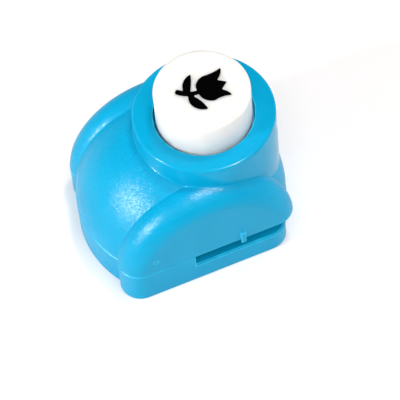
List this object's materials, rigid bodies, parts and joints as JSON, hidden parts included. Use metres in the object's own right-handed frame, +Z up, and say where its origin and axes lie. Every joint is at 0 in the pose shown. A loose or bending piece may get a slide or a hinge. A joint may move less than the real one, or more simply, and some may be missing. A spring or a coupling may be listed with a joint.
{
  "type": "craft punch",
  "caption": "Palm-size craft punch: scalloped drum-shaped plastic body with a paper slot, round collar and a push button that drives a tulip-shaped punch through its die.",
  "frame": {"origin": "on the punch axis, in the plane of the underside", "axes": "+Z up along the button's travel, -Y toward the paper slot's mouth, +X across the body"},
  "size_m": [0.036, 0.0434, 0.0393],
  "materials": {
    "case_plastic": "satin moulded ABS, cyan blue, fine spark-eroded grain",
    "button_plastic": "semi-gloss moulded ABS, warm white",
    "mark_ink": "matt black printed ink",
    "core_plastic": "matt acetal, black",
    "die_steel": "ground steel",
    "spring_steel": "drawn spring steel",
    "screw_steel": "bright zinc plated"
  },
  "bodies": {
    "housing": {"top_casing": "case_plastic", "base_shell": "case_plastic", "die_plate": "die_steel", "guide_plate": "die_steel", "spacer_left": "die_steel", "spacer_right": "die_steel", "die_set_rivets": "screw_steel", "case_screws": "screw_steel", "spring_washer": "spring_steel", "return_spring": "spring_steel"},
    "button": {"button_cap": "button_plastic", "tulip_mark": "mark_ink", "plunger_core": "core_plastic", "punch_blade": "die_steel", "punch_screws": "screw_steel"}
  },
  "joints": [
    {"name": "button_press", "type": "slide", "parent": "housing", "child": "button", "axis": [0, 0, -1], "range_m": [0, 0.0045], "stiffness_N_per_m": 900, "springref_m": -0.0055, "deforming": ["return_spring"]}
  ]
}
